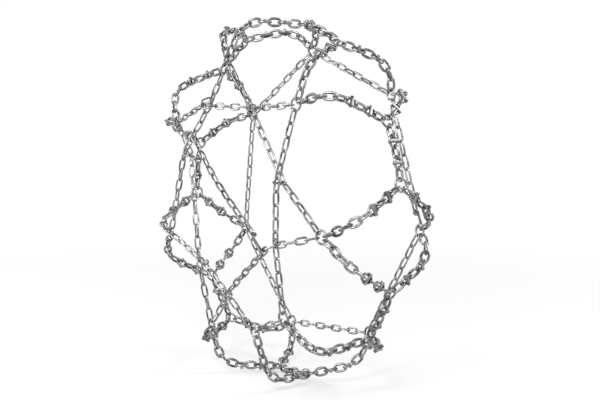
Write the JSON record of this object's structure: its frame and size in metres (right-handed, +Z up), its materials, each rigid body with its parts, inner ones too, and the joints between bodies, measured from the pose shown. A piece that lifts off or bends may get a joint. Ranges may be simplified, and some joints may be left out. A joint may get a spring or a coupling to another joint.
{
  "type": "tyre snow chain",
  "caption": "Snow chain net for a truck tyre: studded short-link arms and rings over the tread, a crossing star of long links on the front, closing hooks and a tension chain.",
  "frame": {"origin": "centre of the wheel, on the middle plane of the tyre that the net is fitted to", "axes": "+Y along the axle to the inner side of the wheel, so the star is on the -Y side; +Z up"},
  "size_m": [1.1338, 0.395, 1.1326],
  "materials": {
    "tread_link_steel": "satin",
    "ring_steel": "satin",
    "long_link_steel": "satin",
    "hook_steel": "satin"
  },
  "bodies": {
    "net": {"tread_chain_1": "tread_link_steel", "tread_chain_2": "tread_link_steel", "tread_chain_3": "tread_link_steel", "tread_chain_4": "tread_link_steel", "tread_chain_5": "tread_link_steel", "tread_chain_6": "tread_link_steel", "tread_chain_7": "tread_link_steel", "front_cross_chain_1": "tread_link_steel", "front_cross_chain_2": "tread_link_steel", "front_cross_chain_4": "tread_link_steel", "front_cross_chain_5": "tread_link_steel", "front_cross_chain_6": "tread_link_steel", "front_cross_chain_7": "tread_link_steel", "front_closing_arm_a": "tread_link_steel", "front_closing_arm_b": "tread_link_steel", "rear_cross_chain_1": "tread_link_steel", "rear_cross_chain_2": "tread_link_steel", "rear_cross_chain_3": "tread_link_steel", "rear_cross_chain_4": "tread_link_steel", "rear_cross_chain_5": "tread_link_steel", "rear_cross_chain_6": "tread_link_steel", "rear_cross_chain_7": "tread_link_steel", "star_chain_1": "long_link_steel", "star_chain_2": "long_link_steel", "star_chain_3": "long_link_steel", "star_chain_4": "long_link_steel", "star_chain_5": "long_link_steel", "star_chain_6": "long_link_steel", "star_chain_7": "long_link_steel", "rear_side_chain_1": "long_link_steel", "rear_side_chain_2": "long_link_steel", "rear_side_chain_3": "long_link_steel", "rear_side_chain_4": "long_link_steel", "rear_side_chain_5": "long_link_steel", "rear_side_chain_6": "long_link_steel", "rear_side_chain_7": "long_link_steel", "closing_chain": "long_link_steel"},
    "tread_ring_1a": {"tread_ring_1a": "ring_steel"},
    "tread_ring_1b": {"tread_ring_1b": "ring_steel"},
    "tread_ring_2a": {"tread_ring_2a": "ring_steel"},
    "tread_ring_2b": {"tread_ring_2b": "ring_steel"},
    "tread_ring_3a": {"tread_ring_3a": "ring_steel"},
    "tread_ring_3b": {"tread_ring_3b": "ring_steel"},
    "tread_ring_4a": {"tread_ring_4a": "ring_steel"},
    "tread_ring_4b": {"tread_ring_4b": "ring_steel"},
    "tread_ring_5a": {"tread_ring_5a": "ring_steel"},
    "tread_ring_5b": {"tread_ring_5b": "ring_steel"},
    "tread_ring_6a": {"tread_ring_6a": "ring_steel"},
    "tread_ring_6b": {"tread_ring_6b": "ring_steel"},
    "tread_ring_7a": {"tread_ring_7a": "ring_steel"},
    "tread_ring_7b": {"tread_ring_7b": "ring_steel"},
    "closing_hook": {"closing_hook": "hook_steel"},
    "rear_hook": {"rear_hook": "hook_steel"},
    "tension_chain": {"tension_chain": "long_link_steel"},
    "tension_hook": {"tension_hook": "hook_steel"}
  },
  "joints": [
    {"name": "tread_ring_1a_spin", "type": "hinge", "parent": "net", "child": "tread_ring_1a", "pos_m": [0.48915, 0.018, 0.25796], "axis": [0.8845, 0, 0.4665], "continuous": true},
    {"name": "tread_ring_1b_spin", "type": "hinge", "parent": "net", "child": "tread_ring_1b", "pos_m": [0.54624, 0.018, 0.08619], "axis": [0.9878, 0, 0.1559], "continuous": true},
    {"name": "tread_ring_2a_spin", "type": "hinge", "parent": "net", "child": "tread_ring_2a", "pos_m": [0.50666, 0.018, -0.2216], "axis": [0.9162, 0, -0.4007], "continuous": true},
    {"name": "tread_ring_2b_spin", "type": "hinge", "parent": "net", "child": "tread_ring_2b", "pos_m": [0.40796, 0.018, -0.37333], "axis": [0.7377, 0, -0.6751], "continuous": true},
    {"name": "tread_ring_3a_spin", "type": "hinge", "parent": "net", "child": "tread_ring_3a", "pos_m": [0.14264, 0.018, -0.53429], "axis": [0.2579, 0, -0.9662], "continuous": true},
    {"name": "tread_ring_3b_spin", "type": "hinge", "parent": "net", "child": "tread_ring_3b", "pos_m": [-0.03753, 0.018, -0.55173], "axis": [-0.0679, 0, -0.9977], "continuous": true},
    {"name": "tread_ring_4a_spin", "type": "hinge", "parent": "net", "child": "tread_ring_4a", "pos_m": [-0.32878, 0.018, -0.44465], "axis": [-0.5945, 0, -0.8041], "continuous": true},
    {"name": "tread_ring_4b_spin", "type": "hinge", "parent": "net", "child": "tread_ring_4b", "pos_m": [-0.45475, 0.018, -0.31466], "axis": [-0.8223, 0, -0.569], "continuous": true},
    {"name": "tread_ring_5a_spin", "type": "hinge", "parent": "net", "child": "tread_ring_5a", "pos_m": [-0.55263, 0.018, -0.02018], "axis": [-0.9993, 0, -0.0365], "continuous": true},
    {"name": "tread_ring_5b_spin", "type": "hinge", "parent": "net", "child": "tread_ring_5b", "pos_m": [-0.52954, 0.018, 0.15935], "axis": [-0.9576, 0, 0.2882], "continuous": true},
    {"name": "tread_ring_6a_spin", "type": "hinge", "parent": "net", "child": "tread_ring_6a", "pos_m": [-0.36034, 0.018, 0.41948], "axis": [-0.6516, 0, 0.7586], "continuous": true},
    {"name": "tread_ring_6b_spin", "type": "hinge", "parent": "net", "child": "tread_ring_6b", "pos_m": [-0.20558, 0.018, 0.51337], "axis": [-0.3717, 0, 0.9283], "continuous": true},
    {"name": "tread_ring_7a_spin", "type": "hinge", "parent": "net", "child": "tread_ring_7a", "pos_m": [0.1033, 0.018, 0.54327], "axis": [0.1868, 0, 0.9824], "continuous": true},
    {"name": "tread_ring_7b_spin", "type": "hinge", "parent": "net", "child": "tread_ring_7b", "pos_m": [0.27319, 0.018, 0.48081], "axis": [0.494, 0, 0.8694], "continuous": true},
    {"name": "closing_hook_swing", "type": "hinge", "parent": "net", "child": "closing_hook", "pos_m": [0.17007, -0.17426, -0.35514], "axis": [-0.4228, -0.1716, 0.8898], "range_deg": [0, 75]},
    {"name": "rear_hook_swing", "type": "hinge", "parent": "net", "child": "rear_hook", "pos_m": [0.45438, 0.16073, -0.00835], "axis": [0.9372, -0.1569, 0.3115], "range_deg": [0, 75]},
    {"name": "tension_chain_swing", "type": "hinge", "parent": "net", "child": "tension_chain", "pos_m": [-0.23026, -0.1804, 0.19475], "axis": [-0.6121, -0.1305, -0.7799], "range_deg": [0, 65]},
    {"name": "tension_hook_swing", "type": "hinge", "parent": "tension_chain", "child": "tension_hook", "pos_m": [0.15627, -0.20545, -0.0761], "axis": [-0.5579, 0.1731, -0.8117], "range_deg": [0, 70]}
  ]
}
